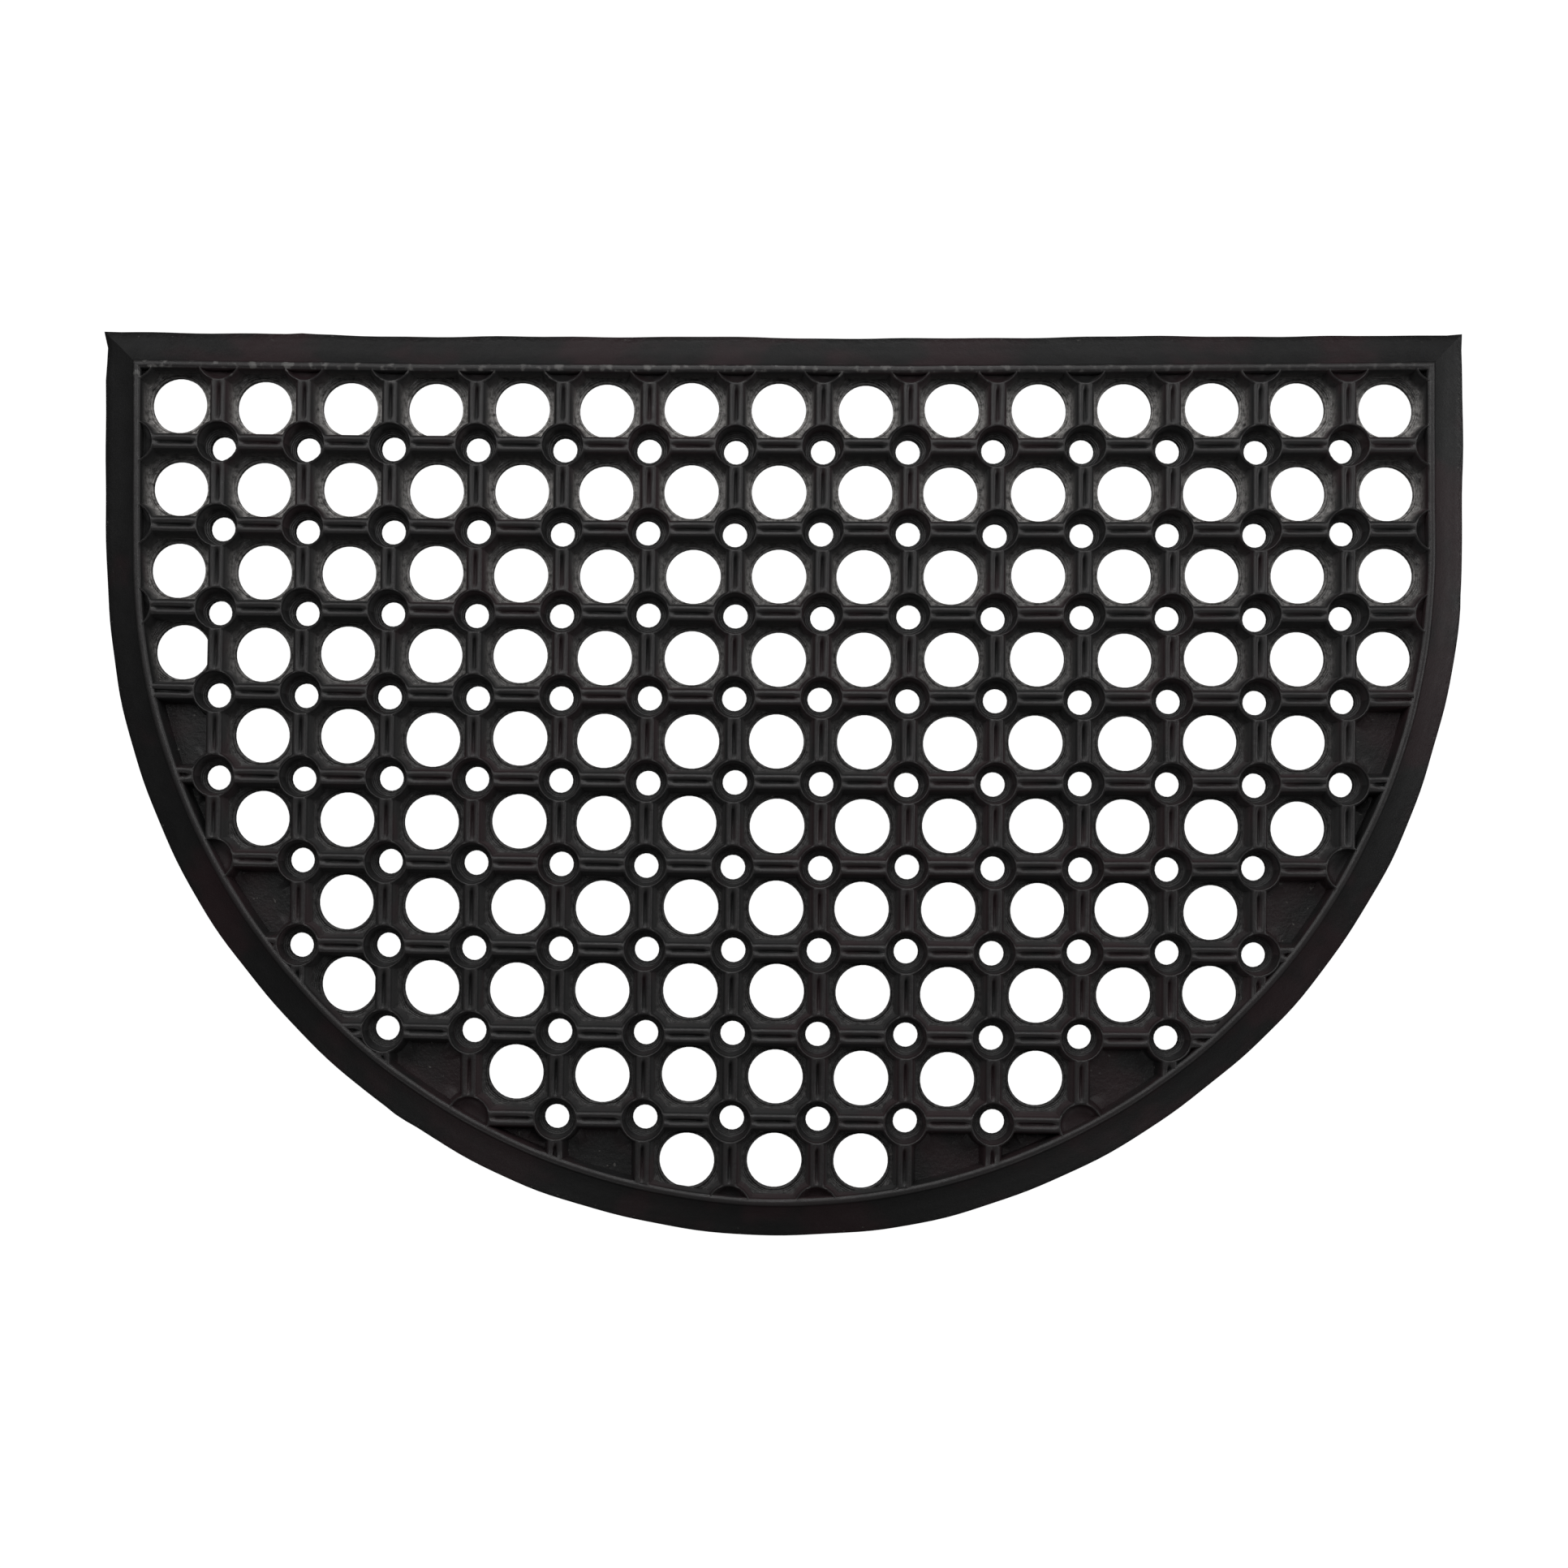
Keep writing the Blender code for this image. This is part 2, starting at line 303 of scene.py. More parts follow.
def raised_point(column, row, offset_x=0.0, offset_y=0.0):
    """Place on the mat of a point of the ribs and cups."""
    x, y = lattice_point(column, row, offset_x, offset_y)
    return x + RAISED_LEAN * y, y + RAISED_STRETCH * (y - RAISED_STRETCH_CENTRE)


def back_bow(x):
    """How far the straight edge lies in from its left end: it sags and tilts a little."""
    along = x / ARC_RADIUS
    return BACK_SAG * (1 - along ** 2) + BACK_TILT * (1 + along) / 2


def depth_inside_lip(x, y):
    """Distance from a point to the lip's inner edge, negative under the border."""
    half_width = ARC_RADIUS - SIDE_SLOPE_WIDTH - LIP_WIDTH
    radius = ARC_RADIUS - SLOPE_WIDTH - LIP_WIDTH
    if y < ARC_CENTRE_Y:
        return radius - math.hypot(x * radius / half_width, y - ARC_CENTRE_Y)
    return min(half_width - abs(x), DEPTH / 2 - SLOPE_WIDTH - LIP_WIDTH - back_bow(x) - y)


def hole_centre(column, row, radius):
    """Centre of a hole, which strays a little from its place in the lattice but not into the lip."""
    chance = random.Random(f"hole {column:.1f} {row:.1f}")
    x, y = lattice_point(column, row,
                         chance.uniform(-HOLE_WANDER, HOLE_WANDER),
                         chance.uniform(-HOLE_WANDER, HOLE_WANDER))
    overlap = radius + HOLE_TO_LIP - depth_inside_lip(x, y)
    if overlap > 0:
        inward = Vector((-x, ARC_CENTRE_Y - y)).normalized() * overlap
        x, y = x + inward.x, y + inward.y
    return Vector((x, y))


def polygon_reach(sides):
    """How far the corners of a polygon reach, as a share of the radius of a circle as large."""
    return math.sqrt(2 * math.pi / (sides * math.sin(2 * math.pi / sides)))


def large_hole(column, row):
    """Centre of a large hole."""
    return hole_centre(column, row, LARGE_HOLE_RADIUS * polygon_reach(LARGE_HOLE_SIDES))


def small_hole(column, row):
    """Centre of a small hole."""
    return hole_centre(column, row, SMALL_HOLE_RADIUS * polygon_reach(SMALL_HOLE_SIDES))


class Surface:
    """Points and faces of a mesh while it is made."""

    def __init__(self):
        self.points = []
        self.faces = []

    def add(self, plan, height):
        """Adds one loop or row of points at one height, or at a height for each."""
        heights = height if isinstance(height, list) else [height] * len(plan)
        start = len(self.points)
        self.points += [(x, y, z) for (x, y), z in zip(plan, heights)]
        return list(range(start, len(self.points)))

    def band(self, outer, inner, closed=True):
        """Four-sided faces between two loops or rows with as many points."""
        count = len(outer)
        for i in range(count if closed else count - 1):
            j = (i + 1) % count
            self.faces.append((outer[i], outer[j], inner[j], inner[i]))

    def bridge(self, outer, inner, outer_angles, inner_angles):
        """Triangles between two loops round one middle with different numbers of points."""
        i, j = 0, 0
        while i < len(outer) or j < len(inner):
            after_i, after_j = (i + 1) % len(outer), (j + 1) % len(inner)
            outer_turn = outer_angles[after_i] + 2 * math.pi * ((i + 1) // len(outer))
            inner_turn = inner_angles[after_j] + 2 * math.pi * ((j + 1) // len(inner))
            if j == len(inner) or (i < len(outer) and outer_turn <= inner_turn):
                self.faces.append((outer[i], outer[after_i], inner[j % len(inner)]))
                i += 1
            else:
                self.faces.append((outer[i % len(outer)], inner[after_j], inner[j]))
                j += 1

    def cap(self, loop):
        """One flat face inside a loop."""
        self.faces.append(tuple(loop))


def slot_stations(pitch):
    """Places along a rib pair, from its middle, where its rows of points lie."""
    crest = POCKET_WALL[0]
    end = pitch / 2 - math.sqrt(crest["cup"] ** 2 - crest["rib"] ** 2)
    half = [end - SLOT_END - SLOT_END_SLOPE, end - SLOT_END, end]
    return [-station for station in reversed(half)] + half


def pocket_loop(column, row, rib, cup):
    """Loop of points round a pocket, at a distance from the ribs' middles and the cups' middles."""
    half = Vector((PITCH_X / 2, PITCH_Y / 2))
    arc_start = math.asin(rib / cup)
    loop = []
    for quarter in range(4):
        turn = quarter * math.pi / 2
        along_x = quarter % 2 == 1
        pitch = PITCH_X if along_x else PITCH_Y
        across = (PITCH_Y if along_x else PITCH_X) / 2 - rib
        stations = slot_stations(pitch)
        end = pitch / 2 - cup * math.cos(arc_start)
        stretch = end / stations[-1]
        side = [(across, station * stretch) for station in stations]
        corner_x = half.y if along_x else half.x
        corner_y = half.x if along_x else half.y
        arc = []
        for step in range(1, CUP_ARC_STEPS):
            angle = arc_start + (math.pi / 2 - 2 * arc_start) * step / CUP_ARC_STEPS
            arc.append((corner_x - cup * math.sin(angle), corner_y - cup * math.cos(angle)))
        cos, sin = round(math.cos(turn)), round(math.sin(turn))
        for x, y in side + arc:
            loop.append(raised_point(column, row, x * cos - y * sin, x * sin + y * cos))
    return loop


def circle_points(centre, radii, count):
    """Points round a centre, evenly spaced, in step with the loops round a pocket."""
    start = -math.pi * (POINTS_ALONG_RIB - 1) / count
    angles = [start + 2 * math.pi * i / count for i in range(count)]
    return [centre + radius * Vector((math.cos(angle), math.sin(angle)))
            for angle, radius in zip(angles, radii)]


def burr_widths(column, row, hole_middle, count):
    """Room for a burr in each direction, between a large hole and the foot of the pocket's wall."""
    centre = Vector(raised_point(column, row))
    foot = POCKET_WALL[-1]["rib"]
    widths = []
    for point in circle_points(Vector((0.0, 0.0)), [1.0] * count, count):
        reach = min((PITCH_X / 2 - foot) / max(abs(point.x), TINY),
                    (PITCH_Y / 2 - foot) / max(abs(point.y), TINY))
        gap = reach - (hole_middle - centre).dot(point) - LARGE_HOLE_RADIUS
        widths.append(max(gap, 0.0) * BURR_SHARE)
    return widths


def between(outer, inner, share):
    """Loop at a share of the way from one loop to another."""
    return [Vector(a).lerp(Vector(b), share) for a, b in zip(outer, inner)]


def add_pocket(surface, column, row):
    """Top and underside of one pocket between four cups."""
    margin = depth_inside_lip(*lattice_point(column, row))
    crest = POCKET_WALL[0]
    rim = pocket_loop(column, row, crest["rib"], crest["cup"])
    top = surface.add(rim, crest["height"])
    under = surface.add(rim, 0.0)
    if margin < CAPPED_MARGIN:
        surface.cap(top)
        surface.cap(under[::-1])
        return
    for level in POCKET_WALL[1:]:
        foot = pocket_loop(column, row, level["rib"], level["cup"])
        lower = surface.add(foot, level["height"])
        surface.band(top, lower)
        top = lower
    if margin >= LARGE_HOLE_MARGIN:
        count = len(foot)
        hole_middle = large_hole(column, row)
        room = burr_widths(column, row, hole_middle, count)
        for width, height in HOLE_BURR:
            radii = [LARGE_HOLE_RADIUS + min(width, limit * width / HOLE_BURR[0][0])
                     for limit in room]
            lower = surface.add(circle_points(hole_middle, radii, count), height)
            surface.band(top, lower)
            top = lower
        surface.band(under, top)
    else:
        middle = [raised_point(column, row)] * len(foot)
        for share, height in BLIND_FLOOR:
            lower = surface.add(between(foot, middle, share), height)
            surface.band(top, lower)
            top = lower
        surface.cap(top)
        surface.cap(under[::-1])


def cup_angles():
    """Directions of a cup's points: those on its four ribs' sections and those between the ribs."""
    crest = POCKET_WALL[0]
    arc_start = math.asin(crest["rib"] / crest["cup"])
    quarter = [math.asin(across / crest["cup"]) for across, depth in RIB_SECTION]
    for step in range(1, CUP_ARC_STEPS):
        quarter.append(arc_start + (math.pi / 2 - 2 * arc_start) * step / CUP_ARC_STEPS)
    return [angle + turn * math.pi / 2 for turn in range(4) for angle in quarter]


def cup_loop(column, row, radius):
    """Loop of points round a cup, in step with the ribs that meet it."""
    return [raised_point(column, row, radius * math.cos(angle), radius * math.sin(angle))
            for angle in cup_angles()]


def add_cup(surface, column, row):
    """Top and underside of one cup."""
    margin = depth_inside_lip(*lattice_point(column, row))
    rim = cup_loop(column, row, CUP_WALL[0][0])
    top = surface.add(rim, CUP_WALL[0][1])
    under = surface.add(rim, 0.0)
    if margin < CAPPED_MARGIN:
        surface.cap(top)
        surface.cap(under[::-1])
        return
    holed = margin >= SMALL_HOLE_MARGIN
    wall = CUP_WALL if holed else BLIND_CUP_WALL
    for radius, height in wall[1:]:
        lower = surface.add(cup_loop(column, row, radius), height)
        surface.band(top, lower)
        top = lower
    around = cup_angles()
    turns = [around[0] + 2 * math.pi * i / CUP_FLOOR_POINTS for i in range(CUP_FLOOR_POINTS)]
    centre = Vector(raised_point(column, row))
    middle = small_hole(column, row) if holed else centre
    inner_radius = SMALL_HOLE_RADIUS if holed else 0.0
    for index, (share, height) in enumerate(CUP_FLOOR if holed else BLIND_CUP_FLOOR):
        reach = wall[-1][0] + (inner_radius - wall[-1][0]) * share
        axis = centre.lerp(middle, share)
        loop = [axis + reach * Vector((math.cos(turn), math.sin(turn))) for turn in turns]
        lower = surface.add(loop, height)
        if index:
            surface.band(top, lower)
        else:
            surface.bridge(top, lower, around, turns)
        top = lower
    if holed:
        surface.bridge(under, top, around, turns)
    else:
        surface.cap(top)
        surface.cap(under[::-1])


def add_rib_pair(surface, column, row, along_x):
    """Top and underside of a pair of ribs between two cups, with the slot between them."""
    crest = POCKET_WALL[0]
    stations = slot_stations(PITCH_X if along_x else PITCH_Y)
    half_pitch = (PITCH_X if along_x else PITCH_Y) / 2
    rows = []
    for index, station in enumerate(stations):
        at_ring = index in (0, len(stations) - 1)
        closed = index in (0, 1, len(stations) - 2, len(stations) - 1)
        plan = []
        heights = []
        for across, depth in RIB_SECTION:
            along = station
            if at_ring:
                reach = half_pitch - math.sqrt(crest["cup"] ** 2 - across ** 2)
                along = math.copysign(reach, station)
            heights.append(crest["height"] - (0.0 if closed else depth))
            offset = (along, -across) if along_x else (across, along)
            plan.append(raised_point(column, row, *offset))
        rows.append((plan, heights))
    previous = None
    for plan, heights in rows:
        line = surface.add(plan, heights)
        if previous:
            surface.band(previous, line, closed=False)
        previous = line
    first, last = rows[0][0], rows[-1][0]
    left = [plan[0] for plan, heights in rows[1:-1]]
    right = [plan[-1] for plan, heights in rows[1:-1]]
    surface.cap(surface.add(first + right + last[::-1] + left[::-1], 0.0))


def add_lattice(surface):
    """All pockets, cups and rib pairs, some way past the border."""
    for row in range(FIRST_ROW, LAST_ROW + 1):
        for column in range(-LAST_COLUMN, LAST_COLUMN + 1):
            add_pocket(surface, column, row)
            if column < LAST_COLUMN:
                add_rib_pair(surface, column + 0.5, row, along_x=False)
            if row < LAST_ROW:
                add_rib_pair(surface, column, row + 0.5, along_x=True)
            if column < LAST_COLUMN and row < LAST_ROW:
                add_cup(surface, column + 0.5, row + 0.5)


def linked_object(name, data):
    """Object of a mesh, a light or a camera, in the scene."""
    made = bpy.data.objects.new(name, data)
    bpy.context.scene.collection.objects.link(made)
    return made


def lattice_object():
    """Closed plate of the lattice, larger than the mat."""
    surface = Surface()
    add_lattice(surface)
    mesh = bpy.data.meshes.new("lattice")
    mesh.from_pydata(surface.points, [], surface.faces)
    work = bmesh.new()
    work.from_mesh(mesh)
    bmesh.ops.remove_doubles(work, verts=work.verts, dist=MERGE_DISTANCE)
    rim = [edge for edge in work.edges
           if len(edge.link_faces) == 1 and edge.verts[0].co.z > MERGE_DISTANCE]
    side = bmesh.ops.extrude_edge_only(work, edges=rim)
    for item in side["geom"]:
        if isinstance(item, bmesh.types.BMVert):
            item.co.z = 0.0
    bmesh.ops.remove_doubles(work, verts=work.verts, dist=MERGE_DISTANCE)
    bmesh.ops.recalc_face_normals(work, faces=work.faces)
    work.to_mesh(mesh)
    work.free()
    return linked_object("lattice", mesh)


def edge_wobble(distance):
    """How far the outer edge lies out of true, at a distance along it."""
    return sum(size * math.sin(2 * math.pi * distance / length + phase)
               for size, length, phase in EDGE_WAVES)


def outline(side_inset, back_inset, arc_inset, wobble=0.0):
    """Half-round outline, moved in at the sides, at the straight back and at the arc's front."""
    half_width = ARC_RADIUS - side_inset
    points = []
    normals = []
    for step in range(BACK_STATIONS):
        x = half_width * (2 * step / BACK_STATIONS - 1)
        points.append(Vector((x, DEPTH / 2 - back_inset - back_bow(x))))
        normals.append(Vector((0, 1)) if step else Vector((0, 0)))
    back_y = DEPTH / 2 - back_inset - back_bow(half_width)
    for step in range(SIDE_STATIONS):
        points.append(Vector((half_width, back_y + (ARC_CENTRE_Y - back_y) * step / SIDE_STATIONS)))
        normals.append(Vector((1, 0)) if step else Vector((0, 0)))
    for step in range(ARC_STATIONS + 1):
        angle = -math.pi * step / ARC_STATIONS
        normals.append(Vector((math.cos(angle), math.sin(angle))))
        points.append(Vector((half_width * math.cos(angle),
                              ARC_CENTRE_Y + (ARC_RADIUS - arc_inset) * math.sin(angle))))
    back_y = DEPTH / 2 - back_inset - back_bow(-half_width)
    for step in range(1, SIDE_STATIONS):
        points.append(Vector((-half_width,
                              ARC_CENTRE_Y + (back_y - ARC_CENTRE_Y) * step / SIDE_STATIONS)))
        normals.append(Vector((-1, 0)))
    distance = 0.0
    placed = []
    for index, (point, normal) in enumerate(zip(points, normals)):
        distance += (point - points[index - 1]).length if index else 0.0
        out = edge_wobble(distance)
        for mark in EDGE_MARKS:
            away = (point - Vector((mark["x"], mark["y"]))).length / mark["reach"]
            out += mark["out"] * math.exp(-away ** 2)
        placed.append(point + normal * wobble * out)
    if wobble == 1.0:
        # This is the trimmed edge itself, which has the flash
        placed[0] += CORNER_FLASH
    return placed


def closed_ring(sections):
    """Surface through closed loops of points at their heights, and the loops themselves."""
    surface = Surface()
    loops = [surface.add(plan, height) for plan, height in sections]
    for lower, upper in zip(loops, loops[1:]):
        surface.band(lower, upper)
    return surface, loops


def border_object():
    """Closed ring of the border and its lip."""
    sections = []
    for level in BORDER_SECTION:
        insets = [level["slope"] * width + level["past"]
                  for width in (SIDE_SLOPE_WIDTH, BACK_SLOPE_WIDTH, ARC_SLOPE_WIDTH)]
        sections.append((outline(*insets, level["wobble"]), level["height"]))
    surface, loops = closed_ring(sections)
    surface.band(loops[-1], loops[0])
    return finished_solid("border", surface)


def cut_object():
    """Prism that cuts the lattice off inside the lip."""
    plan = outline(SIDE_SLOPE_WIDTH + CUT_PAST_SLOPE, BACK_SLOPE_WIDTH + CUT_PAST_SLOPE,
                   ARC_SLOPE_WIDTH + CUT_PAST_SLOPE)
    surface, loops = closed_ring([(plan, -HEIGHT), (plan, 2 * HEIGHT)])
    surface.cap(loops[0])
    surface.cap(loops[-1])
    return finished_solid("cut", surface)


def finished_solid(name, surface):
    """Object of a closed surface, faces outward."""
    mesh = bpy.data.meshes.new(name)
    mesh.from_pydata(surface.points, [], surface.faces)
    work = bmesh.new()
    work.from_mesh(mesh)
    bmesh.ops.recalc_face_normals(work, faces=work.faces)
    work.to_mesh(mesh)
    work.free()
    return linked_object(name, mesh)


def combine(base, other, operation):
    """Adds one closed solid to another, or keeps what both share."""
    step = base.modifiers.new(operation, "BOOLEAN")
    step.operation = operation
    step.solver = "MANIFOLD"
    step.object = other


def join_underside(mesh):
    """Makes the flat underside of a few large faces instead of the many that lie under the lattice."""
    work = bmesh.new()
    work.from_mesh(mesh)
    low = {vertex for vertex in work.verts if abs(vertex.co.z) < MERGE_DISTANCE}
    for vertex in low:
        vertex.co.z = 0.0
    flat = [face for face in work.faces if all(vertex in low for vertex in face.verts)]
    inner_edges = {edge for face in flat for edge in face.edges
                   if all(other in low for near in edge.link_faces for other in near.verts)}
    # Both lists follow the mesh's own order, which is the same in each run, as a set's order isn't
    verts = [vertex for vertex in work.verts
             if vertex in low and all(edge in inner_edges for edge in vertex.link_edges)]
    edges = [edge for edge in work.edges if edge in inner_edges]
    bmesh.ops.dissolve_limit(work, angle_limit=FLAT_ANGLE, verts=verts, edges=edges)
    work.to_mesh(mesh)
    work.free()


def make_mat():
    """The whole moulding as one closed mesh."""
    lattice = lattice_object()
    helpers = [cut_object(), border_object()]
    combine(lattice, helpers[0], "INTERSECT")
    combine(lattice, helpers[1], "UNION")
    graph = bpy.context.evaluated_depsgraph_get()
    mesh = bpy.data.meshes.new_from_object(lattice.evaluated_get(graph))
    mesh.name = "moulded_mat"
    join_underside(mesh)
    for helper in helpers + [lattice]:
        bpy.data.objects.remove(helper)
    return linked_object("moulded_mat", mesh)


def roughen_form(mat):
    """Slow unevenness of a moulding in soft rubber."""
    noise.seed_set(FORM_SEED)
    for vertex in mat.data.vertices:
        place = Vector((vertex.co.x, vertex.co.y, 0.0)) / PLAN_NOISE_LENGTH
        push = noise.noise_vector(place)
        vertex.co.x += push.x * PLAN_NOISE
        vertex.co.y += push.y * PLAN_NOISE
        vertex.co.z += push.z * HEIGHT_NOISE * vertex.co.z / HEIGHT
    mat.data.update()


def crease_mitres(mat):
    """Keeps the border's slopes from blending where they meet at the two square corners."""
    vertices = mat.data.vertices
    for edge in mat.data.edges:
        ends = [vertices[index].co for index in edge.vertices]
        sideways = [ARC_RADIUS - abs(end.x) for end in ends]
        down = [DEPTH / 2 - back_bow(end.x) - end.y for end in ends]
        if max(down) > BACK_SLOPE_WIDTH + LIP_WIDTH or max(sideways) > SIDE_SLOPE_WIDTH + LIP_WIDTH:
            continue
        if all(abs(s - d) < MITRE_REACH for s, d in zip(sideways, down)):
            edge.use_edge_sharp = True


def search_tree(middles):
    """Tree that finds the nearest of some places on the mat."""
    tree = kdtree.KDTree(len(middles))
    for index, middle in enumerate(middles):
        tree.insert((middle.x, middle.y, 0.0), index)
    tree.balance()
    return tree


def measure_places(mat):
    """Stores where each point of the mesh lies: how far from the edge of the nearest large hole and
    small hole, how far inside the lip, how far from the middle of the nearest pair of ribs, and how
    far towards the back of its pocket."""
    large, small, pockets = [], [], []
    for row in range(FIRST_ROW, LAST_ROW + 1):
        for column in range(-LAST_COLUMN, LAST_COLUMN + 1):
            pockets.append(Vector(raised_point(column, row)))
            if depth_inside_lip(*lattice_point(column, row)) >= LARGE_HOLE_MARGIN:
                large.append(large_hole(column, row))
            if depth_inside_lip(*lattice_point(column + 0.5, row + 0.5)) >= SMALL_HOLE_MARGIN:
                small.append(small_hole(column + 0.5, row + 0.5))
    large_tree, small_tree, pocket_tree = [search_tree(middles) for middles in (large, small, pockets)]
    places = {"large_gap": [], "small_gap": [], "lip_depth": [], "rib_gap": [], "pocket_y": []}
    for vertex in mat.data.vertices:
        x, y = vertex.co.x, vertex.co.y
        middle, _, _ = pocket_tree.find((x, y, 0.0))
        _, _, to_large = large_tree.find((x, y, 0.0))
        _, _, to_small = small_tree.find((x, y, 0.0))
        places["large_gap"].append(to_large - LARGE_HOLE_RADIUS)
        places["small_gap"].append(to_small - SMALL_HOLE_RADIUS)
        places["lip_depth"].append(depth_inside_lip(x, y))
        places["rib_gap"].append(min(abs(PITCH_X / 2 - abs(x - middle.x)),
                                     abs(PITCH_Y / 2 - abs(y - middle.y))))
        places["pocket_y"].append(y - middle.y)
    for name, values in places.items():
        mat.data.attributes.new(name, "FLOAT", "POINT").data.foreach_set("value", values)


class Nodes:
    """Makes and links the nodes of one material."""

    def __init__(self, name):
        self.material = bpy.data.materials.new(name)
        self.material.use_nodes = True
        self.tree = self.material.node_tree
        self.shader = self.tree.nodes["Principled BSDF"]

    def make(self, kind, inputs=None, **settings):
        """Node with its inputs linked to sockets or set to values."""
        node = self.tree.nodes.new(kind)
        for key, value in settings.items():
            setattr(node, key, value)
        for key, value in (inputs or {}).items():
            if isinstance(value, bpy.types.NodeSocket):
                self.tree.links.new(value, node.inputs[key])
            else:
                node.inputs[key].default_value = value
        return node

    def noise(self, place, scale, detail, roughness):
        """Noise between 0 and 1."""
        made = self.make("ShaderNodeTexNoise", {"Vector": place, "Scale": scale, "Detail": detail,
                                                "Roughness": roughness})
        return made.outputs["Fac"]

    def stored(self, name):
        """Value that the mesh stores at its points."""
        return self.make("ShaderNodeAttribute", attribute_name=name).outputs["Fac"]

    def math(self, operation, first, second=0.0):
        """Result of one sum."""
        return self.make("ShaderNodeMath", {0: first, 1: second}, operation=operation).outputs[0]

    def spread(self, value, low, high, to_low, to_high, kind="LINEAR"):
        """Carries a value over from one range to another, and holds it inside that."""
        made = self.make("ShaderNodeMapRange", {"Value": value, "From Min": low, "From Max": high,
                                                "To Min": to_low, "To Max": to_high},
                         interpolation_type=kind)
        return made.outputs["Result"]

    def mix(self, share, first, second):
        """Colour at a share of the way from one colour to another."""
        made = self.make("ShaderNodeMix", {"Factor": share, 6: first, 7: second}, data_type="RGBA")
        return made.outputs[2]

    def into(self, socket, value):
        """Links a value to the shader."""
        self.tree.links.new(value, self.shader.inputs[socket])


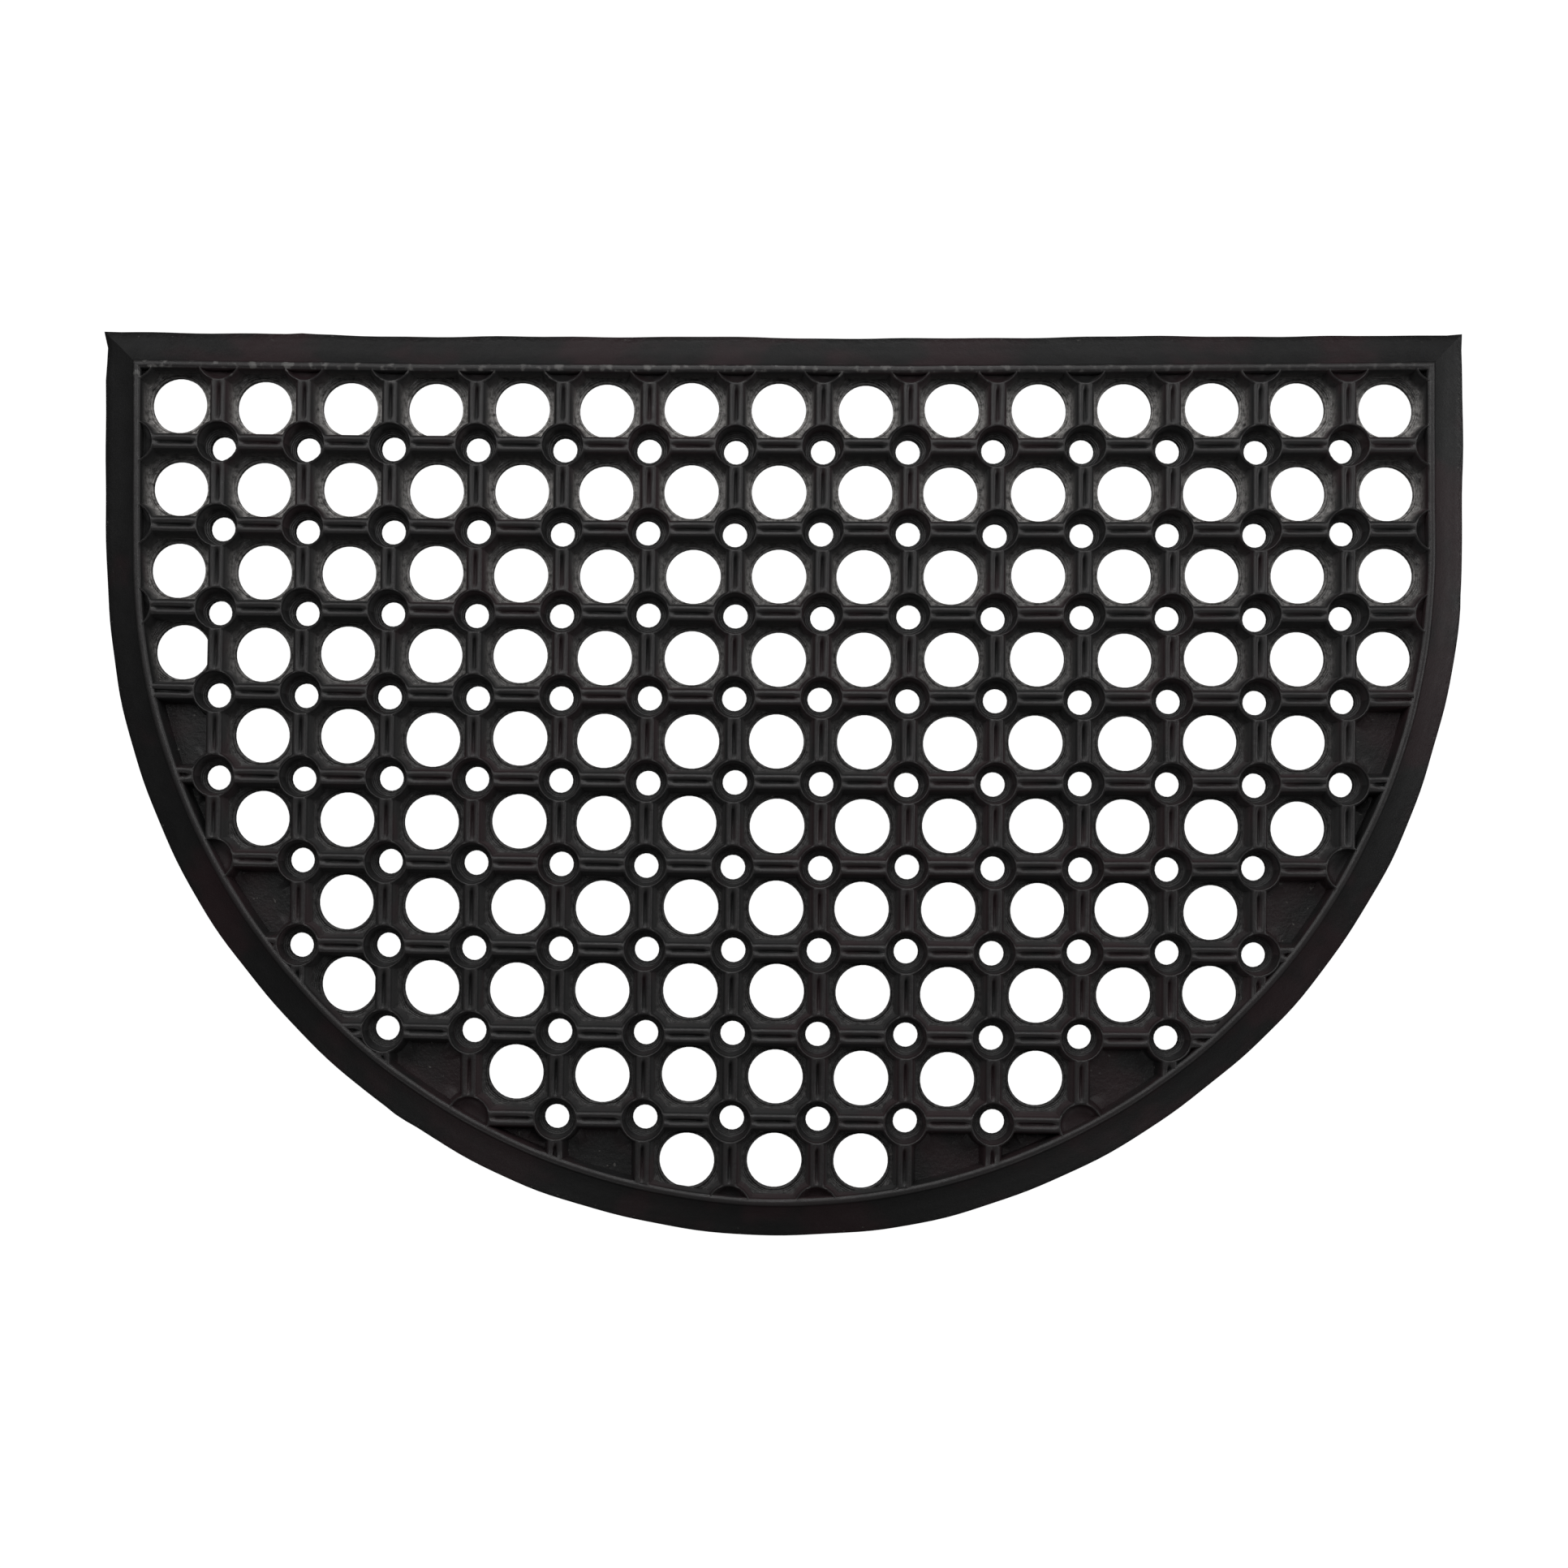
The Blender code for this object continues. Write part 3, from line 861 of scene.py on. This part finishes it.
def rubber_material():
    """Black rubber: clean dark ribs and border with slow brown bloom and a painted highlight on the
    crests, greyer walls and mottled floors with painted shade at each pocket's back, pale dusting that
    is partly painted light towards the back edge and on each pocket's lit front, painted highlight
    blotches on the back lip, a few specks and rings round the holes."""
    nodes = Nodes("moulded_rubber")
    place = nodes.make("ShaderNodeTexCoord").outputs["Object"]
    axes = nodes.make("ShaderNodeSeparateXYZ", {"Vector": place})
    height = axes.outputs["Z"]
    large_gap = nodes.stored("large_gap")
    small_gap = nodes.stored("small_gap")
    gap = nodes.math("MINIMUM", large_gap, small_gap)
    pocket_y = nodes.stored("pocket_y")
    bloom = nodes.noise(place, *BLOOM_NOISE)
    patches = nodes.noise(place, *PATCH_NOISE)
    grain = nodes.noise(place, *GRAIN_NOISE)
    coarse = nodes.noise(place, *COARSE_NOISE)
    on_floor = nodes.spread(height, *FLOOR_LEVELS, 1.0, 0.0, "SMOOTHSTEP")
    on_crest = nodes.spread(height, *CREST_LEVELS, 0.0, 1.0, "SMOOTHSTEP")
    wear_and_sheen = nodes.spread(axes.outputs["Y"], *WEAR_AND_SHEEN_Y, LEAST_WEAR_AND_SHEEN, 1.0)

    # Clean rubber, browner towards the right
    bloom = nodes.math("ADD", bloom, nodes.math("MULTIPLY", axes.outputs["X"], BLOOM_LEAN))
    bloomed = nodes.spread(bloom, *BLOOM_PATCHES, 0.0, 1.0, "SMOOTHSTEP")
    colour = nodes.mix(bloomed, CLEAN, BLOOM)

    # Greyer rubber inside the pockets and cups, but not in the slots and on the border
    in_lattice = nodes.spread(nodes.stored("lip_depth"), *LIP_EDGE, 0.0, 1.0)
    off_slot = nodes.spread(nodes.stored("rib_gap"), *SLOT_EDGE, 0.0, 1.0)
    in_cup = nodes.spread(small_gap, *CUP_EDGE, 1.0, 0.0)
    near_hole = nodes.spread(large_gap, *POCKET_EDGE, 1.0, 0.0)
    in_pocket = nodes.math("MULTIPLY", off_slot, near_hole)
    inside = nodes.spread(height, *WALL_LEVELS, 1.0, 0.0, "SMOOTHSTEP")
    inside = nodes.math("MULTIPLY", inside, in_lattice)
    inside = nodes.math("MULTIPLY", inside, nodes.math("MAXIMUM", in_pocket, in_cup))
    mottled = nodes.spread(coarse, *MOTTLED_PATCHES, 0.0, 1.0)
    # Painted shade: the floor and wall at the back side of each pocket, which the rib behind shades,
    # are darker
    painted_back_shade = nodes.spread(pocket_y, *SHADED_BACK_SIDE, 0.0, BACK_SHADE_SHARE, "SMOOTHSTEP")
    wall_grey = nodes.mix(bloomed, WALL, WALL_BLOOM)
    floor_grey = nodes.mix(mottled, FLOOR_DARK, FLOOR_LIGHT)
    grey = nodes.mix(on_floor, wall_grey, floor_grey)
    grey = nodes.mix(painted_back_shade, grey, SHADED_FLOOR)
    colour = nodes.mix(inside, colour, grey)
    # Painted highlight: the crests of the ridges, ribs and lip are lighter where the lamps' sheen
    # falls on them
    colour = nodes.mix(nodes.math("MULTIPLY", on_crest, CREST_HIGHLIGHT_SHARE), colour, CREST_HIGHLIGHT)

    # Pale dust round the large holes, towards the mat's back edge and towards each pocket's front.
    # Partly painted light: it is stronger towards the back edge, where it stands in for the lamps'
    # sheen on the floors, and on each pocket's lit front side, with little on the shaded back side
    dusty = nodes.spread(height, *DUST_LEVELS, 1.0, 0.0, "SMOOTHSTEP")
    dusty = nodes.math("MULTIPLY", dusty, nodes.spread(large_gap, *DUST_REACH, 1.0, 0.0))
    torn = nodes.spread(large_gap, *TORN_REACH, 1.0, TORN_SHARE, "SMOOTHSTEP")
    # Painted light: the lit front side of each pocket gets the pale colour, and the shaded back side
    # little of it
    lit_front = nodes.spread(pocket_y, *LIT_FRONT_SIDE, 1.0, SHADED_BACK_DUST_SHARE)
    dust_and_light = nodes.math("MULTIPLY", nodes.math("MULTIPLY", dusty, wear_and_sheen), torn)
    dust_and_light = nodes.math("MULTIPLY", dust_and_light, lit_front)
    dust_and_light = nodes.math("MULTIPLY", dust_and_light, nodes.spread(coarse, *DUST_PATCHES, 0.0, 1.0))
    colour = nodes.mix(dust_and_light, colour, DUST_AND_LIGHT)

    # Painted highlight blotches on the back lip, fewer towards the right, and specks on the floors
    lip_highlight = nodes.spread(nodes.noise(place, *LIP_HIGHLIGHT_NOISE), *LIP_HIGHLIGHT_PATCHES, 0.0, 1.0)
    lip_highlight = nodes.math("MULTIPLY", lip_highlight, nodes.spread(axes.outputs["Y"], *BACK_LIP_Y, 0.0, 1.0))
    lip_highlight = nodes.math("MULTIPLY", lip_highlight, nodes.spread(axes.outputs["X"], *LIP_HIGHLIGHT_X, 1.0, LEAST_LIP_HIGHLIGHT))
    lip_highlight = nodes.math("MULTIPLY", lip_highlight, on_crest)
    colour = nodes.mix(lip_highlight, colour, LIP_HIGHLIGHT)
    speck = nodes.spread(nodes.noise(place, *SPECK_NOISE), *SPECK_PATCHES, 0.0, 1.0)
    speck = nodes.math("MULTIPLY", speck, on_floor)
    colour = nodes.mix(speck, colour, SPECK)
    nodes.into("Base Color", colour)

    # Smoother crests, and smoother floors where the mat is worn
    roughness = nodes.spread(patches, *NOISE_RANGE, *ROUGHNESS)
    roughness = nodes.math("SUBTRACT", roughness, nodes.math("MULTIPLY", on_crest, CREST_GLOSS))
    rubbed = nodes.math("MULTIPLY", nodes.math("MULTIPLY", on_floor, wear_and_sheen), RUBBED_GLOSS)
    roughness = nodes.math("SUBTRACT", roughness, rubbed)
    roughness = nodes.math("ADD", roughness,
                           nodes.spread(grain, *NOISE_RANGE, -GRAIN_ROUGHNESS, GRAIN_ROUGHNESS))
    nodes.into("Roughness", roughness)

    # Wavering rings round the holes, fine grain, slow patches and rough floors
    turned = nodes.math("MULTIPLY", gap, 2 * math.pi / RING_SPACING)
    turned = nodes.math("ADD", turned, nodes.spread(patches, *NOISE_RANGE, -RING_WAVER, RING_WAVER))
    rings = nodes.math("SINE", turned)
    ringed = nodes.math("MULTIPLY", on_floor, nodes.spread(gap, *RING_REACH, 1.0, 0.0))
    rings = nodes.math("MULTIPLY", rings, nodes.math("MULTIPLY", ringed, RING_HEIGHT))
    relief = nodes.math("MULTIPLY", grain, GRAIN_HEIGHT)
    relief = nodes.math("ADD", relief, nodes.math("MULTIPLY", patches, PATCH_HEIGHT))
    rough_floor = nodes.math("MULTIPLY", coarse, nodes.math("MULTIPLY", on_floor, FLOOR_HEIGHT))
    relief = nodes.math("ADD", nodes.math("ADD", relief, rings), rough_floor)
    bump = nodes.make("ShaderNodeBump", {"Height": relief, "Distance": 1.0, "Strength": 1.0})
    nodes.into("Normal", bump.outputs["Normal"])
    return nodes.material


def make_camera():
    """Camera that looks straight down, with its picture shifted to the mat's middle."""
    data = bpy.data.cameras.new("camera")
    data.sensor_width = SENSOR
    data.lens = SENSOR * (CAMERA_HEIGHT - VIEW_PLANE) / VIEW_WIDTH
    data.shift_y = -CAMERA_Y / VIEW_WIDTH
    data.clip_start = NEAREST_SEEN
    data.clip_end = FARTHEST_SEEN
    camera = linked_object("camera", data)
    camera.location = (0.0, CAMERA_Y, CAMERA_HEIGHT)
    bpy.context.scene.camera = camera


def area_light(name, azimuth, elevation, width, height, power):
    """Soft box that faces the mat."""
    data = bpy.data.lights.new(name, "AREA")
    data.shape = "RECTANGLE"
    data.size = width
    data.size_y = height
    data.energy = power
    light = linked_object(name, data)
    side, up = math.radians(azimuth), math.radians(elevation)
    place = Vector((math.sin(side) * math.cos(up), math.cos(side) * math.cos(up), math.sin(up)))
    light.location = place * LIGHT_DISTANCE
    light.rotation_euler = place.to_track_quat("Z", "Y").to_euler()


def make_world():
    """Studio that looks white and sheds little light of its own."""
    world = bpy.data.worlds.new("studio")
    world.use_nodes = True
    surround = world.node_tree.nodes["Background"]
    surround.inputs["Color"].default_value = WHITE
    rays = world.node_tree.nodes.new("ShaderNodeLightPath")
    strength = world.node_tree.nodes.new("ShaderNodeMapRange")
    strength.inputs["To Min"].default_value = WORLD_LIGHT
    strength.inputs["To Max"].default_value = 1.0
    world.node_tree.links.new(rays.outputs["Is Camera Ray"], strength.inputs["Value"])
    world.node_tree.links.new(strength.outputs["Result"], surround.inputs["Strength"])
    bpy.context.scene.world = world


def make_floor():
    """Plain pale floor, which doesn't light the mat from below."""
    floor_mesh = bpy.data.meshes.new("floor")
    work = bmesh.new()
    bmesh.ops.create_grid(work, x_segments=1, y_segments=1, size=FLOOR_HALF_WIDTH)
    work.to_mesh(floor_mesh)
    work.free()
    floor = linked_object("floor", floor_mesh)
    floor.location.z = -FLOOR_DROP
    paper = bpy.data.materials.new("pale_paper")
    paper.use_nodes = True
    shader = paper.node_tree.nodes["Principled BSDF"]
    shader.inputs["Base Color"].default_value = FLOOR_GREY
    shader.inputs["Roughness"].default_value = FLOOR_ROUGHNESS
    shader.inputs["Emission Color"].default_value = WHITE
    shader.inputs["Emission Strength"].default_value = 1.0
    floor_mesh.materials.append(paper)
    floor.visible_diffuse = False
    floor.visible_glossy = False


mat = make_mat()
roughen_form(mat)
for polygon in mat.data.polygons:
    polygon.use_smooth = True
mat.data.set_sharp_from_angle(angle=SHARP_ANGLE)
crease_mitres(mat)
measure_places(mat)
mat.data.materials.clear()
mat.data.materials.append(rubber_material())

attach(mat, "root")
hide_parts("mat")

make_camera()
for light in LIGHTS:
    area_light(*light)
make_world()
make_floor()
bpy.context.scene.view_settings.view_transform = "Standard"
